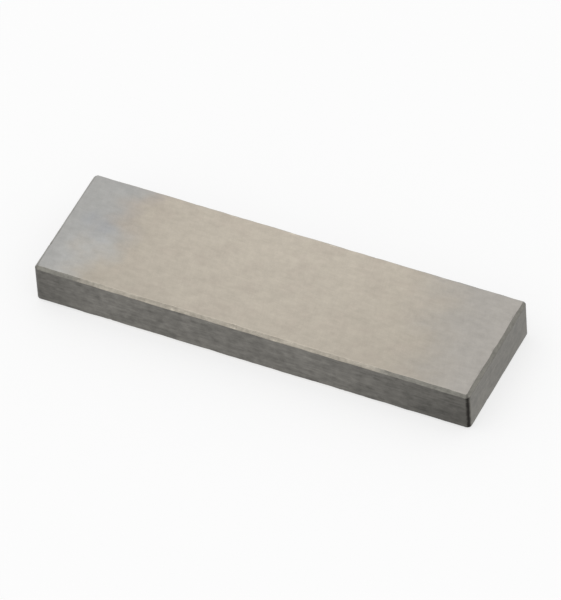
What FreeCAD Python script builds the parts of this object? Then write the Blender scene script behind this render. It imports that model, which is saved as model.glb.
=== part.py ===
# Rectangular steel gauge block, modelled as a parametric FreeCAD document. Millimetres, +Z up.
#
# The block is one solid piece of hardened steel. Its two large faces are the measuring faces: they are
# lapped flat and parallel, and the distance between them is the length that the block stands for.
# The four narrow faces are ground, and every edge is broken so that the block can be slid and wrung
# onto another one without a burr lifting it.
#
# Frame: the origin is the centre of the lower measuring face, +X runs along the longer side of the
# section, +Y along the shorter side, and +Z is the gauging direction.
import FreeCAD, Part
import Sketcher
import os

NODE = "gauge_block"

# Driving dimensions: alias, millimetres, what the size is.
SIZES = [
    ("section_length", 30.0, "longer side of the measuring faces"),
    ("section_width", 9.0, "shorter side of the measuring faces"),
    ("gauge_length", 3.0, "distance between the two measuring faces"),
    ("edge_chamfer", 0.2, "leg of the 45 degree chamfer round each measuring face"),
    ("corner_radius", 0.3, "rounding of the four edges that run in the gauging direction"),
]
SAME = FreeCAD.Base.Precision.confusion()  # two directions closer than this count as one
GAUGING_DIRECTION = FreeCAD.Vector(0, 0, 1)


def make_sheet(document):
    """The spreadsheet that holds every driving dimension under its alias."""
    sheet = document.addObject("Spreadsheet::Sheet", "sizes")
    for row, (alias, value, meaning) in enumerate(SIZES, start=1):
        sheet.set(f"A{row}", alias)
        sheet.set(f"B{row}", str(value))
        sheet.setAlias(f"B{row}", alias)
        sheet.set(f"C{row}", meaning)
    document.recompute()
    return sheet


def origin_plane(body, role):
    """One of the body's own origin planes, found by its role."""
    return next(part for part in body.Origin.OriginFeatures if part.Role == role)


def section_sketch(body, sheet):
    """The section that both measuring faces share: a rectangle centred on the origin."""
    sketch = body.newObject("Sketcher::SketchObject", "section")
    sketch.AttachmentSupport = (origin_plane(body, "XY_Plane"), "")
    sketch.MapMode = "FlatFace"

    half_length, half_width = sheet.section_length / 2, sheet.section_width / 2
    corners = [
        FreeCAD.Vector(-half_length, -half_width, 0),
        FreeCAD.Vector(half_length, -half_width, 0),
        FreeCAD.Vector(half_length, half_width, 0),
        FreeCAD.Vector(-half_length, half_width, 0),
    ]
    sides = len(corners)
    for side in range(sides):
        sketch.addGeometry(Part.LineSegment(corners[side], corners[(side + 1) % sides]))

    start, end, root = 1, 2, (-1, 1)
    front, right, back, left = range(sides)
    for side in range(sides):
        sketch.addConstraint(Sketcher.Constraint("Coincident", side, end, (side + 1) % sides, start))
    for side in (front, back):
        sketch.addConstraint(Sketcher.Constraint("Horizontal", side))
    for side in (right, left):
        sketch.addConstraint(Sketcher.Constraint("Vertical", side))
    sketch.addConstraint(Sketcher.Constraint("Symmetric", front, start, back, start, *root))
    across_length = Sketcher.Constraint("DistanceX", front, start, front, end, sheet.section_length)
    across_width = Sketcher.Constraint("DistanceY", right, start, right, end, sheet.section_width)
    bind(sketch, "section_length", across_length)
    bind(sketch, "section_width", across_width)
    return sketch


def bind(sketch, alias, constraint):
    """Adds a dimension to the sketch, names it after its cell and ties it to that cell."""
    index = sketch.addConstraint(constraint)
    sketch.renameConstraint(index, alias)
    sketch.setExpression(f"Constraints.{alias}", f"sizes.{alias}")


def is_gauging_direction(direction):
    """True for a direction along the gauging direction, whichever way it points."""
    return GAUGING_DIRECTION.cross(direction).Length < SAME


def measuring_faces(shape):
    """Names of the two faces that look along the gauging direction, down and up."""
    return [
        f"Face{number}"
        for number, face in enumerate(shape.Faces, start=1)
        if is_gauging_direction(face.normalAt(0, 0))
    ]


def upright_edges(shape):
    """Names of the edges that run in the gauging direction, where two narrow faces meet."""
    return [
        f"Edge{number}"
        for number, edge in enumerate(shape.Edges, start=1)
        if is_gauging_direction(edge.tangentAt(edge.FirstParameter))
    ]


def make_gauge_block(document, sheet):
    """The block: its section padded to the gauge length, then the edges broken."""
    body = document.addObject("PartDesign::Body", NODE)
    body.Label = NODE

    blank = body.newObject("PartDesign::Pad", "blank")
    blank.Profile = section_sketch(body, sheet)
    blank.setExpression("Length", "sizes.gauge_length")
    document.recompute()

    # The chamfer goes all the way round both measuring faces and meets itself in a mitre at each corner.
    chamfer = body.newObject("PartDesign::Chamfer", "measuring_face_chamfer")
    chamfer.Base = (blank, measuring_faces(blank.Shape))
    chamfer.setExpression("Size", "sizes.edge_chamfer")
    document.recompute()

    # The four upright edges are rounded last, so the rounding runs out across the mitres.
    rounding = body.newObject("PartDesign::Fillet", "upright_edge_rounding")
    rounding.Base = (chamfer, upright_edges(chamfer.Shape))
    rounding.setExpression("Radius", "sizes.corner_radius")
    document.recompute()

    body.Tip = rounding
    body.Placement = FreeCAD.Placement()  # the sketch is already centred on the frame's origin
    document.recompute()
    return body


def check(document, body):
    """Stops with a message if an object failed, or the block isn't one valid solid."""
    for item in document.Objects:
        if "Invalid" in item.State or "Error" in item.State:
            raise RuntimeError(f"{item.Label} did not recompute: {item.State}")
    shape = body.Shape
    if shape.isNull() or not shape.isValid() or len(shape.Solids) != 1:
        raise RuntimeError(f"{body.Label} is not one valid solid")


def main():
    document = FreeCAD.newDocument("GaugeBlock")
    sheet = make_sheet(document)
    block = make_gauge_block(document, sheet)
    check(document, block)

    os.makedirs("parts", exist_ok=True)
    block.Shape.exportStep(f"parts/{block.Label}.step")
    print(f"{block.Label}: {block.Shape.Volume:.3f} cubic mm, {len(block.Shape.Faces)} faces")


main()
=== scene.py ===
import math

import bpy
import numpy as np
from mathutils import Matrix, Vector, noise


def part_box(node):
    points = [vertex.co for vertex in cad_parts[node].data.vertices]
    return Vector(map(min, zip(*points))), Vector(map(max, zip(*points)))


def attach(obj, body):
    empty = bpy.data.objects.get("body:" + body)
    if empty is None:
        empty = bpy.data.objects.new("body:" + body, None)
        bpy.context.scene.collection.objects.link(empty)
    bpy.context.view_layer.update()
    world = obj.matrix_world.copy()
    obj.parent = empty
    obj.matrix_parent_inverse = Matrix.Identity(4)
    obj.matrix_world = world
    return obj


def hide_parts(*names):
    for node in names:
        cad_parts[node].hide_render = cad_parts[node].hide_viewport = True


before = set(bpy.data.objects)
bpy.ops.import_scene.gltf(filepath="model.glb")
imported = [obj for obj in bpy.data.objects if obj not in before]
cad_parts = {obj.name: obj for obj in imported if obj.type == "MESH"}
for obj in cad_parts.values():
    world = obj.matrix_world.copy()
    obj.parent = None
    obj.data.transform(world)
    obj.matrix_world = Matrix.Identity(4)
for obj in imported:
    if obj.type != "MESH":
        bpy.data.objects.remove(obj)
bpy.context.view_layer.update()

NODE = "gauge_block"
LOW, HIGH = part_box(NODE)
CENTRE = (LOW + HIGH) / 2

MM = 0.001
HALF_LENGTH = (HIGH.x - CENTRE.x) / MM  # from here on, sizes of the block are in millimetres
HALF_WIDTH = (HIGH.y - CENTRE.y) / MM
GAUGE_LENGTH = (HIGH.z - LOW.z) / MM


# ------------------------------------------------------------------------------ shape of the block

CORNER_RADIUS = 0.3  # rounding of the four upright edges
CHAMFER = 0.2  # leg of the chamfer round each measuring face
CHAMFER_WANDER = 0.032  # how far a hand-stoned chamfer's legs stray from that
WANDER_LENGTH = 1.3  # and over what distance
WANDER_LIMIT = 1.3  # the furthest stray, in CHAMFER_WANDERs
FACE_CREASE = 0.016  # reach of the softened crease between a chamfer and a measuring face
SIDE_CREASE = 0.03  # reach of the one between a chamfer and a ground side
HOLD = 0.05  # distance of the loops that keep the flats flat beside a crease
ALONG = 0.22  # spacing of the mesh along the sides
FINE = 0.035  # spacing beside a nick
NICK_REACH = 0.7  # how far round the edge a nick goes, in chamfer legs
RAGGED, RAGGED_WAVES = 0.3, 9  # unevenness of a nick's floor: its share, and its rate per half width
CREASE_STEPS, CHAMFER_STEPS, SIDE_STEPS, CORNER_STEPS = 4, 3, 8, 10

# Nicks in the broken edges: side, place along it, half width along the edge, depth.
UPPER_NICKS = [
    ("front", -11.9, 0.12, 0.035),
    ("front", -5.3, 0.16, 0.060),
    ("front", -1.05, 0.24, 0.085),
    ("front", 1.75, 0.18, 0.075),
    ("front", 5.6, 0.10, 0.035),
    ("front", 9.4, 0.14, 0.045),
    ("back", -7.9, 0.10, 0.035),
    ("back", 4.6, 0.13, 0.040),
    ("right", 1.7, 0.09, 0.032),
    ("left", -2.2, 0.10, 0.035),
]
LOWER_NICKS = [
    ("front", -9.8, 0.11, 0.040),
    ("front", 6.3, 0.09, 0.035),
    ("back", 10.2, 0.12, 0.040),
    ("back", -2.7, 0.09, 0.030),
    ("right", -1.9, 0.10, 0.035),
    ("left", 1.3, 0.08, 0.030),
]
OUTWARD = {"front": (0, -1), "right": (1, 0), "back": (0, 1), "left": (-1, 0)}
LAPPED, BROKEN, GROUND = range(3)  # material slots of the mesh


def graded(reach, sides):
    """Places from -reach to reach, ALONG apart and closer beside the nicks of these sides."""
    count = round(2 * reach / ALONG)
    places = [-reach + 2 * reach * step / count for step in range(count + 1)]
    places += [-reach + HOLD, reach - HOLD]
    steps = round(ALONG / FINE)
    for side, nick, _, _ in UPPER_NICKS + LOWER_NICKS:
        if side in sides:
            places += [nick + FINE * step for step in range(-steps, steps + 1)]
    spaced = [-reach]
    for place in sorted(places):
        if place - spaced[-1] > FINE / 2 and reach - place > FINE / 2:
            spaced.append(place)
    return spaced + [reach]


def outline():
    """The plan outline as spines, outward directions and the number of steps along each side.

    An outline point, moved inwards by an inset, is spine + direction * (CORNER_RADIUS - inset).
    Each side begins and ends in the middle of a corner's rounding."""
    reach_x, reach_y = HALF_LENGTH - CORNER_RADIUS, HALF_WIDTH - CORNER_RADIUS
    along_x = graded(reach_x, ("front", "back"))
    along_y = graded(reach_y, ("left", "right"))
    half = CORNER_STEPS // 2
    turns = [math.radians(90 * (step - half) / CORNER_STEPS) for step in range(half)]
    spines, directions, counts = [], [], []
    for name, outward in OUTWARD.items():
        outward = np.array(outward, float)
        onward = np.array((-outward[1], outward[0]))
        if name in ("front", "back"):
            reach, depth, places = reach_x, reach_y, along_x
        else:
            reach, depth, places = reach_y, reach_x, along_y
        if name in ("back", "left"):
            places = [-place for place in reversed(places)]
        side = [(-reach, turn) for turn in turns]
        side += [(place, 0.0) for place in places]
        side += [(reach, -turn) for turn in reversed(turns[1:])]
        for place, turn in side:
            spines.append(outward * depth + onward * place)
            directions.append(outward * math.cos(turn) + onward * math.sin(turn))
        counts.append(len(side))
    return np.array(spines), np.array(directions), counts


def wander(points, seed):
    """A leg of the chamfer at each plan point: its size, with smooth irregularity."""
    strays = [noise.fractal(Vector((*(point / WANDER_LENGTH), seed)), 0.8, 2.0, 4) for point in points]
    return CHAMFER + CHAMFER_WANDER * np.clip(strays, -WANDER_LIMIT, WANDER_LIMIT)


def soften(before, corner, after, reach):
    """Rows of points that round off a crease at corner, coming from before and going on to after."""
    ends = []
    for target in (before, after):
        way = target - corner
        ends.append(corner + way * reach / np.linalg.norm(way, axis=1, keepdims=True))
    start, end = ends
    shares = [step / CREASE_STEPS for step in range(CREASE_STEPS + 1)]
    return [start * (1 - s) ** 2 + corner * 2 * s * (1 - s) + end * s**2 for s in shares]


def edge_rows(face_leg, side_leg):
    """Rows of (inset, depth below the measuring face), from the measuring face out to the side.

    Also says how many of them, and of the steps between them, belong to each finish."""
    none = np.zeros_like(face_leg)
    face = np.stack([face_leg + HOLD, none], axis=1)
    face_edge = np.stack([face_leg, none], axis=1)
    side_edge = np.stack([none, side_leg], axis=1)
    side = np.stack([none, side_leg + HOLD], axis=1)
    upper = soften(face, face_edge, side_edge, FACE_CREASE)
    lower = soften(face_edge, side_edge, side, SIDE_CREASE)
    shares = [step / CHAMFER_STEPS for step in range(1, CHAMFER_STEPS)]
    middle = [upper[-1] * (1 - s) + lower[0] * s for s in shares]
    finishes = [LAPPED] * (1 + CREASE_STEPS // 2)
    finishes += [BROKEN] * (CREASE_STEPS + CHAMFER_STEPS)
    finishes += [GROUND] * (CREASE_STEPS // 2 + 1)
    return [face] + upper + middle + lower + [side], finishes


def dented(points, nicks, height, upward):
    """The points, with those beside each nick of one measuring face's edge pushed inwards."""
    for side, place, width, depth in nicks:
        outward = np.array((*OUTWARD[side], upward), float) / math.sqrt(2)
        along = 0 if side in ("front", "back") else 1
        across = 1 - along
        spot = np.zeros(3)
        spot[along] = place
        spot[across] = OUTWARD[side][across] * ((HALF_WIDTH, HALF_LENGTH)[along] - CHAMFER / 2)
        spot[2] = height - upward * CHAMFER / 2
        offset = points - spot
        away = offset[:, across] ** 2 + offset[:, 2] ** 2
        ragged = 1 + RAGGED * np.sin(offset[:, along] * RAGGED_WAVES / width + place)
        near = -((offset[:, along] / width) ** 2) - away / (NICK_REACH * CHAMFER) ** 2
        push = depth * ragged * np.exp(near)
        points = points - push[:, None] * outward
    return points


def block_mesh():
    """The block as one closed mesh, in millimetres, centred in plan and standing on zero."""
    spines, directions, counts = outline()
    edge = spines + directions * CORNER_RADIUS
    top, finishes = edge_rows(wander(edge, 1.0), wander(edge, 2.0))
    bottom, _ = edge_rows(wander(edge, 3.0), wander(edge, 4.0))
    rows = [(row[:, 0], GAUGE_LENGTH - row[:, 1]) for row in top]
    underside = [(row[:, 0], row[:, 1]) for row in reversed(bottom)]
    first, last = rows[-1], underside[0]
    for step in range(1, SIDE_STEPS):
        share = step / SIDE_STEPS
        rows.append(tuple(a * (1 - share) + b * share for a, b in zip(first, last)))
    rows += underside
    finishes = finishes + [GROUND] * SIDE_STEPS + list(reversed(finishes))

    around = len(spines)
    loops = []
    for inset, height in rows:
        plan = spines + directions * (CORNER_RADIUS - inset)[:, None]
        loops.append(np.column_stack([plan, height]))
    points = np.concatenate(loops)
    points = dented(points, UPPER_NICKS, GAUGE_LENGTH, 1)
    points = dented(points, LOWER_NICKS, 0.0, -1)

    faces, slots = [], []
    for row, finish in enumerate(finishes):
        above, below = row * around, (row + 1) * around
        for step in range(around):
            after = (step + 1) % around
            faces.append((below + step, below + after, above + after, above + step))
            slots.append(finish)
    points, faces = list(points), list(faces)
    for first_index, upward in ((0, True), ((len(rows) - 1) * around, False)):
        patch = measuring_face(points, first_index, counts, upward)
        faces += patch
        slots += [LAPPED] * len(patch)
    return points, faces, slots


def measuring_face(points, first, counts, upward):
    """Adds the grid that fills the loop which starts at point first, and returns its faces."""
    wide, deep, around = counts[0], counts[1], sum(counts)
    inner = {}

    def corner(i, j):
        if j == 0:
            return first + i
        if i == wide:
            return first + wide + j
        if j == deep:
            return first + 2 * wide + deep - i
        if i == 0:
            return first + (2 * wide + 2 * deep - j) % around
        if (i, j) not in inner:
            front, back = points[corner(i, 0)], points[corner(i, deep)]
            left, right = points[corner(0, j)], points[corner(wide, j)]
            inner[i, j] = len(points)
            points.append(np.array(((front[0] + back[0]) / 2, (left[1] + right[1]) / 2, front[2])))
        return inner[i, j]

    faces = []
    for i in range(wide):
        for j in range(deep):
            face = (corner(i, j), corner(i + 1, j), corner(i + 1, j + 1), corner(i, j + 1))
            faces.append(face if upward else face[::-1])
    return faces


def build_block(finishes):
    """The block as an object that stands for the CAD node."""
    points, faces, slots = block_mesh()
    base = Vector((CENTRE.x, CENTRE.y, LOW.z))
    mesh = bpy.data.meshes.new("gauge_block_steel")
    mesh.from_pydata([base + Vector(point) * MM for point in points], [], faces)
    for finish in finishes:
        mesh.materials.append(finish)
    mesh.polygons.foreach_set("material_index", slots)
    mesh.polygons.foreach_set("use_smooth", [True] * len(faces))
    mesh.update()
    block = bpy.data.objects.new("gauge_block_steel", mesh)
    bpy.context.scene.collection.objects.link(block)
    return block


# ------------------------------------------------------------------------------------- finishes


class Finish:
    """A metal material whose colour, roughness and bump follow the place on the block, in mm."""

    def __init__(self, name, roughness_low, roughness_high):
        self.material = bpy.data.materials.new(name)
        self.material.use_nodes = True
        self.nodes = self.material.node_tree.nodes
        self.links = self.material.node_tree.links
        self.shader = self.nodes["Principled BSDF"]
        self.shader.inputs["Metallic"].default_value = 1.0
        place = self.node("ShaderNodeTexCoord").outputs["Object"]
        scaled = self.node("ShaderNodeVectorMath", operation="SCALE")
        self.join(place, scaled.inputs[0])
        scaled.inputs["Scale"].default_value = 1 / MM
        self.place = scaled.outputs[0]
        split = self.node("ShaderNodeSeparateXYZ")
        self.join(self.place, split.inputs[0])
        self.x, self.y, self.z = split.outputs
        self.roughness_range = (roughness_low, roughness_high)

    def node(self, kind, **settings):
        made = self.nodes.new(kind)
        for setting, value in settings.items():
            setattr(made, setting, value)
        return made

    def join(self, source, target):
        """Links a socket, or sets a plain value."""
        if isinstance(source, bpy.types.NodeSocket):
            self.links.new(source, target)
        else:
            target.default_value = source

    def math(self, operation, first, second=0.0):
        made = self.node("ShaderNodeMath", operation=operation)
        self.join(first, made.inputs[0])
        self.join(second, made.inputs[1])
        return made.outputs[0]

    def step(self, value, low, high):
        """Goes smoothly from 0 at low to 1 at high."""
        made = self.node("ShaderNodeMapRange", interpolation_type="SMOOTHSTEP")
        self.join(value, made.inputs["Value"])
        made.inputs["From Min"].default_value = low
        made.inputs["From Max"].default_value = high
        return made.outputs["Result"]

    def distance(self, centre):
        """Distance from a point."""
        made = self.node("ShaderNodeVectorMath", operation="DISTANCE")
        self.join(self.place, made.inputs[0])
        made.inputs[1].default_value = centre
        return made.outputs["Value"]

    def noise(self, stretch, detail=3.0, seed=0.0, tilt=0.0, roughness=0.55):
        """Noise from 0 to 1 with so many features per mm along X, Y and Z, turned by tilt about Z."""
        mapping = self.node("ShaderNodeMapping", vector_type="POINT")
        turned = self.node("ShaderNodeVectorRotate", rotation_type="Z_AXIS")
        self.join(self.place, turned.inputs["Vector"])
        turned.inputs["Angle"].default_value = tilt
        self.join(turned.outputs[0], mapping.inputs["Vector"])
        mapping.inputs["Location"].default_value = (seed, seed * 1.7, seed * 0.6)
        mapping.inputs["Scale"].default_value = stretch
        made = self.node("ShaderNodeTexNoise")
        self.join(mapping.outputs[0], made.inputs["Vector"])
        made.inputs["Scale"].default_value = 1.0
        made.inputs["Detail"].default_value = detail
        made.inputs["Roughness"].default_value = roughness
        return made.outputs["Fac"]

    def mix(self, share, first, second):
        """Mixes two colours."""
        made = self.node("ShaderNodeMix", data_type="RGBA")
        self.join(share, made.inputs[0])
        for colour, target in ((first, made.inputs[6]), (second, made.inputs[7])):
            self.join(colour if isinstance(colour, bpy.types.NodeSocket) else (*colour, 1.0), target)
        return made.outputs[2]

    def shade(self, colour, amount):
        """Multiplies a colour by an amount near 1."""
        made = self.node("ShaderNodeVectorMath", operation="SCALE")
        self.join(colour, made.inputs[0])
        self.join(amount, made.inputs["Scale"])
        return made.outputs[0]

    def blend(self, *patterns):
        """A brightness round 1 from several 0 to 1 patterns, each with its greatest swing."""
        tone = 1.0
        for pattern, swing in patterns:
            tone = self.math("ADD", self.vary(pattern, -swing, swing), tone)
        return tone

    def vary(self, value, low, high):
        """Turns a 0 to 1 value into one from low to high."""
        made = self.node("ShaderNodeMapRange")
        self.join(value, made.inputs["Value"])
        made.inputs["To Min"].default_value = low
        made.inputs["To Max"].default_value = high
        return made.outputs["Result"]

    def finish(self, colour, roughness, height, depth):
        """Joins colour, roughness (0 to 1 within its range) and a bump so many mm deep."""
        self.join(colour, self.shader.inputs["Base Color"])
        self.join(self.vary(roughness, *self.roughness_range), self.shader.inputs["Roughness"])
        bump = self.node("ShaderNodeBump")
        bump.inputs["Distance"].default_value = depth * MM
        self.join(height, bump.inputs["Height"])
        self.join(bump.outputs["Normal"], self.shader.inputs["Normal"])
        return self.material


WARM_STEEL = (0.496, 0.449, 0.379)  # the lapped face over most of its length
PINKISH_STEEL = (0.440, 0.385, 0.330)  # where the warm film runs out
RIGHT_STEEL = (0.400, 0.378, 0.348)  # the bare ends
LEFT_STEEL = (0.388, 0.384, 0.371)
LEFT_PALE_STEEL = (0.436, 0.433, 0.419)
BLUISH_STEEL = (0.362, 0.369, 0.382)  # a stain in the left end
STAIN = (-12.6, 0.5, GAUGE_LENGTH)
TONGUE = (-11.2, -1.2, GAUGE_LENGTH)  # where the bare steel reaches further in
FILM_ENDS_LEFT = (9.9, 13.7)  # distances from the middle over which the film gives way
FILM_ENDS_RIGHT = (7.8, 13.6)


def film_ends(made):
    """How far the warm film has given way to bare steel, towards the left and the right end."""
    drift = made.noise((0.4, 0.5, 0.4), detail=5, seed=3.1)
    stray = made.vary(drift, -2.4, 2.4)
    lean = made.math("MULTIPLY", made.y, 0.15)
    from_left = made.math("SUBTRACT", made.math("ADD", lean, stray), made.x)
    tongue = made.math("MULTIPLY", made.step(made.distance(TONGUE), 2.6, 0.2), 1.4)
    from_left = made.math("ADD", from_left, tongue)
    lean = made.math("MULTIPLY", made.y, 0.3)
    from_right = made.math("ADD", made.math("ADD", lean, stray), made.x)
    return made.step(from_left, *FILM_ENDS_LEFT), made.step(from_right, *FILM_ENDS_RIGHT)


def bare_colour(made):
    """The bare ends: the left one with a paler front and a bluish stain."""
    cloud = made.vary(made.noise((0.9, 0.9, 0.9), detail=4, seed=9.4), -1.6, 1.6)
    pale = made.step(made.math("ADD", made.y, cloud), 0.6, -1.4)
    pale = made.math("MULTIPLY", pale, made.step(made.math("ADD", made.x, cloud), -14.4, -13.0))
    left = made.mix(pale, LEFT_STEEL, LEFT_PALE_STEEL)
    stain = made.step(made.math("ADD", made.distance(STAIN), cloud), 1.9, 0.3)
    left = made.mix(made.math("MULTIPLY", stain, 0.65), left, BLUISH_STEEL)
    return made.mix(made.step(made.x, -1.0, 1.0), left, RIGHT_STEEL)


def lapped_colour(made):
    """A warm film that stops short of both ends, with a painted reflection that makes it brightest
    past the middle and towards the back.
    """
    left, right = film_ends(made)
    ends = made.math("MAXIMUM", left, right)
    # painted reflection: the flat lapped face is made brightest past the middle and brighter towards
    # the back
    from_middle = made.math("MULTIPLY", made.math("ADD", made.x, 1.0), 1 / 9)
    painted_sheen_arch = made.math("MULTIPLY", made.math("MULTIPLY", from_middle, from_middle), -0.07)
    painted_sheen_slope = made.math("MULTIPLY", made.y, 0.009)
    warm = made.shade(WARM_STEEL, made.math("ADD", made.math("ADD", painted_sheen_arch, painted_sheen_slope), 1.0))
    blush = made.step(made.noise((0.7, 0.9, 0.7), detail=3, seed=6.1), 0.42, 0.7)
    warm = made.mix(made.math("MULTIPLY", blush, 0.3), warm, PINKISH_STEEL)
    rim = made.math("MULTIPLY", left, made.math("SUBTRACT", 1.0, left))
    rim = made.math("MULTIPLY", made.math("MULTIPLY", rim, made.step(made.y, -3.0, 3.0)), 3.6)
    warm = made.mix(rim, warm, PINKISH_STEEL)
    return made.mix(ends, warm, bare_colour(made))


def lapped_finish():
    """Lapped steel: satin, nearly even, with the crossed traces of the lap."""
    made = Finish("lapped_steel", 0.25, 0.36)
    cloud = made.noise((0.6, 0.9, 0.6), detail=5, seed=1.3)
    mottle = made.noise((1.7, 2.5, 1.7), detail=4, seed=5.2)
    grain = made.noise((11.0, 11.0, 11.0), detail=2, seed=2.7)
    lap = made.noise((0.9, 9.0, 0.9), detail=4, seed=7.7, tilt=math.radians(5))
    cross = made.noise((9.0, 0.9, 0.9), detail=4, seed=2.2, tilt=math.radians(-14))
    tone = made.blend((cloud, 0.07), (mottle, 0.13), (grain, 0.06), (lap, 0.05), (cross, 0.05))
    colour = made.shade(lapped_colour(made), tone)
    height = made.math("ADD", made.math("ADD", lap, cross), grain)
    return made.finish(colour, cloud, height, 0.0004)


# the sides are darker than the lapped steel partly for the ground finish and partly as painted shade;
# the end faces get a colour of their own as painted shade
GROUND_STEEL_AND_SHADE = (0.176, 0.169, 0.154)  # the long sides
END_STEEL_AND_SHADE = (0.163, 0.154, 0.133)  # the two end faces
EDGE_DARK = (0.022, 0.020, 0.018)  # the rounding of the upright edges


def ground_colour(made):
    """The steel of the sides, with painted shade in its base colours, and darker towards both ends of
    the long ones.
    """
    long_x = made.math("ABSOLUTE", made.x)
    on_end = made.step(long_x, HALF_LENGTH - 0.2, HALF_LENGTH - 0.02)
    depth = made.step(made.z, 0.0, GAUGE_LENGTH)
    right = made.math("MULTIPLY", made.step(made.x, 4.0, HALF_LENGTH), made.vary(depth, 0.44, 0.32))
    left = made.math("MULTIPLY", made.step(made.x, -10.0, -HALF_LENGTH), 0.26)
    fade = made.math("MULTIPLY", made.math("ADD", right, left), made.math("SUBTRACT", 1.0, on_end))
    fade = made.math("ADD", fade, made.math("MULTIPLY", on_end, made.vary(depth, 0.02, 0.14)))
    colour = made.mix(on_end, GROUND_STEEL_AND_SHADE, END_STEEL_AND_SHADE)
    return made.shade(colour, made.math("SUBTRACT", 1.0, fade))


def upright_edges(made):
    """How dark the rounding of the upright edges is: a thin line, fainter at the left end."""
    stray = made.vary(made.noise((3.0, 3.0, 3.0), detail=3, seed=3.7), -0.08, 0.08)
    share = made.vary(made.step(made.x, -6.0, 6.0), 0.5, 1.0)
    for place, half in ((made.x, HALF_LENGTH), (made.y, HALF_WIDTH)):
        depth = made.math("ADD", made.math("ABSOLUTE", place), stray)
        beside = made.step(depth, half - 0.9 * CORNER_RADIUS, half - 0.35 * CORNER_RADIUS)
        share = made.math("MULTIPLY", share, beside)
    return share


def ground_finish():
    """Ground steel of the narrow sides: darker, partly for the finish and partly as painted shade,
    with fine lines that run round the block.
    """
    made = Finish("ground_steel", 0.28, 0.42)
    lines = made.noise((0.3, 0.3, 20.0), detail=3, seed=4.4, roughness=0.7)
    streaks = made.noise((0.8, 0.8, 5.5), detail=4, seed=1.8, roughness=0.65)
    mottle = made.noise((1.8, 1.8, 2.2), detail=3, seed=8.1, roughness=0.6)
    cloud = made.noise((0.25, 0.25, 0.4), detail=2, seed=6.6)
    tone = made.blend((lines, 0.26), (streaks, 0.46), (mottle, 0.46), (cloud, 0.16))
    colour = made.shade(ground_colour(made), tone)
    colour = made.mix(upright_edges(made), colour, EDGE_DARK)
    height = made.math("ADD", lines, streaks)
    return made.finish(colour, streaks, height, 0.0016)


BROKEN_LIGHT = (0.385, 0.352, 0.298)
BROKEN_DARK = (0.213, 0.206, 0.184)
BROKEN_EDGE_SHARE = 0.6  # how much of the upright edges' dark line carries on over the chamfer


def broken_finish():
    """Broken edges: bright for most of their length, and dark towards both ends."""
    made = Finish("broken_edge_steel", 0.25, 0.42)
    flecks = made.noise((3.2, 3.2, 6.0), detail=4, seed=2.9, roughness=0.7)
    lines = made.noise((0.6, 0.6, 30.0), detail=2, seed=1.9)
    stray = made.vary(made.noise((0.7, 0.7, 0.7), detail=4, seed=5.5), -3.5, 3.5)
    place = made.math("ADD", made.x, stray)
    dark = made.math("MAXIMUM", made.step(place, 5.5, 11.0), made.step(place, -10.5, -13.5))
    colour = made.mix(dark, BROKEN_LIGHT, BROKEN_DARK)
    colour = made.shade(colour, made.blend((flecks, 0.5), (lines, 0.15)))
    colour = made.mix(made.math("MULTIPLY", upright_edges(made), BROKEN_EDGE_SHARE), colour, EDGE_DARK)
    return made.finish(colour, flecks, made.math("ADD", flecks, lines), 0.0015)


# ------------------------------------------------------------------------------------- studio

CAMERA_AZIMUTH, CAMERA_ELEVATION, CAMERA_ROLL = 28.1, 45.9, -4.3  # degrees
CAMERA_DISTANCE = 0.5727
SHOWN_WIDTH = 0.0352  # width of the view at the block
CLIP_START, CLIP_END = 0.01, 20.0
FLOOR_HALF = 1.5
FLOOR_WHITE = (0.97, 0.97, 0.97, 1.0)
FLOOR_TURNS = (0.05, 0.4)  # where the floor turns from lit white to plain white
SHADOW_LIFT = 0.68  # share of plain white in the floor beside the block
WORLD_LIGHT = 0.82


def direction(azimuth, elevation):
    """The way from the block to a place so many degrees round from the front and up."""
    azimuth, elevation = math.radians(azimuth), math.radians(elevation)
    level = math.cos(elevation)
    return Vector((math.sin(azimuth) * level, -math.cos(azimuth) * level, math.sin(elevation)))


def make_camera():
    """Looks at the middle of the block from the photograph's angle."""
    back = direction(CAMERA_AZIMUTH, CAMERA_ELEVATION)
    data = bpy.data.cameras.new("camera")
    camera = bpy.data.objects.new("camera", data)
    bpy.context.scene.collection.objects.link(camera)
    roll = Matrix.Rotation(math.radians(CAMERA_ROLL), 3, "Z")
    turn = (-back).to_track_quat("-Z", "Y").to_matrix() @ roll
    camera.matrix_world = Matrix.Translation(CENTRE + back * CAMERA_DISTANCE) @ turn.to_4x4()
    data.sensor_fit = "HORIZONTAL"
    data.lens = data.sensor_width * CAMERA_DISTANCE / SHOWN_WIDTH
    data.clip_start, data.clip_end = CLIP_START, CLIP_END
    bpy.context.scene.camera = camera


def seen_share(nodes, links):
    """1 for what the camera, metal or glass sees, and 0 for the light that falls on things."""
    path = nodes.new("ShaderNodeLightPath")
    share = path.outputs["Is Camera Ray"]
    for ray in ("Is Glossy Ray", "Is Transmission Ray"):
        either = nodes.new("ShaderNodeMath")
        either.operation = "MAXIMUM"
        links.new(share, either.inputs[0])
        links.new(path.outputs[ray], either.inputs[1])
        share = either.outputs[0]
    return share


def make_world():
    """Plain white to look at, and a slightly lower light on things."""
    world = bpy.data.worlds.new("studio")
    bpy.context.scene.world = world
    world.use_nodes = True
    nodes, links = world.node_tree.nodes, world.node_tree.links
    background = nodes["Background"]
    background.inputs["Color"].default_value = (1.0, 1.0, 1.0, 1.0)
    strength = nodes.new("ShaderNodeMapRange")
    strength.inputs["To Min"].default_value = WORLD_LIGHT
    strength.inputs["To Max"].default_value = 1.0
    links.new(seen_share(nodes, links), strength.inputs["Value"])
    links.new(strength.outputs["Result"], background.inputs["Strength"])


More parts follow.
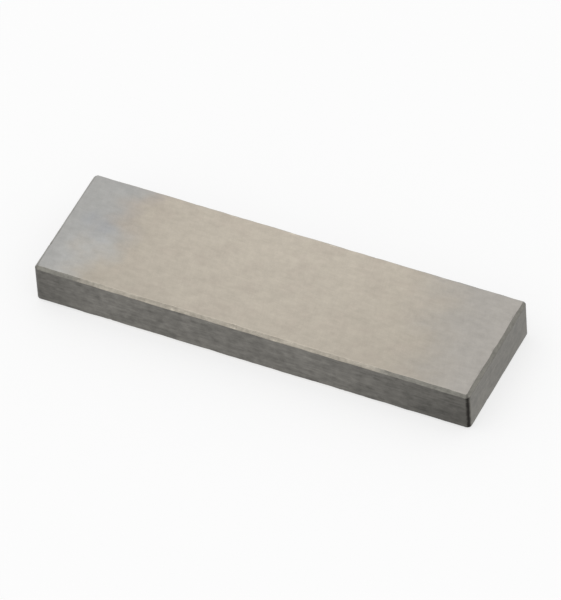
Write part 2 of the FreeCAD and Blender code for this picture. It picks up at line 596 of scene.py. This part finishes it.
def floor_material():
    """White that takes the shadow, and turns to the plain white of the studio away from the block."""
    material = bpy.data.materials.new("floor_white")
    material.use_nodes = True
    nodes, links = material.node_tree.nodes, material.node_tree.links
    shader = nodes["Principled BSDF"]
    shader.inputs["Base Color"].default_value = FLOOR_WHITE
    shader.inputs["Roughness"].default_value = 0.9
    shader.inputs["Specular IOR Level"].default_value = 0.0
    place = nodes.new("ShaderNodeTexCoord")
    distance = nodes.new("ShaderNodeVectorMath")
    distance.operation = "LENGTH"
    links.new(place.outputs["Object"], distance.inputs[0])
    share = nodes.new("ShaderNodeMapRange")
    share.interpolation_type = "SMOOTHSTEP"
    share.inputs["From Min"].default_value, share.inputs["From Max"].default_value = FLOOR_TURNS
    share.inputs["To Min"].default_value = SHADOW_LIFT
    links.new(distance.outputs["Value"], share.inputs["Value"])
    seen = nodes.new("ShaderNodeMath")
    seen.operation = "MULTIPLY"
    links.new(share.outputs["Result"], seen.inputs[0])
    links.new(seen_share(nodes, links), seen.inputs[1])
    white = nodes.new("ShaderNodeEmission")
    mix = nodes.new("ShaderNodeMixShader")
    links.new(seen.outputs[0], mix.inputs[0])
    links.new(shader.outputs[0], mix.inputs[1])
    links.new(white.outputs[0], mix.inputs[2])
    links.new(mix.outputs[0], nodes["Material Output"].inputs["Surface"])
    return material


def make_floor():
    """A wide flat floor at the height of the lower measuring face."""
    mesh = bpy.data.meshes.new("floor")
    corners = [(-1, -1), (1, -1), (1, 1), (-1, 1)]
    mesh.from_pydata([(x * FLOOR_HALF, y * FLOOR_HALF, LOW.z) for x, y in corners], [], [(0, 1, 2, 3)])
    mesh.materials.append(floor_material())
    floor = bpy.data.objects.new("floor", mesh)
    bpy.context.scene.collection.objects.link(floor)


def make_lamp(name, azimuth, elevation, distance, size, radiance):
    """A square soft lamp of a given radiance that looks at the block."""
    way = direction(azimuth, elevation)
    data = bpy.data.lights.new(name, "AREA")
    data.shape, data.size = "SQUARE", size
    data.energy = radiance * math.pi * size**2
    lamp = bpy.data.objects.new(name, data)
    lamp.location = CENTRE + way * distance
    lamp.rotation_euler = (-way).to_track_quat("-Z", "Y").to_euler()
    bpy.context.scene.collection.objects.link(lamp)


block = build_block([lapped_finish(), broken_finish(), ground_finish()])
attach(block, "root")
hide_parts(NODE)

make_camera()
make_world()
make_floor()
make_lamp("key_softbox", azimuth=300, elevation=76, distance=1.1, size=1.2, radiance=0.5)
bpy.context.scene.view_settings.view_transform = "Standard"
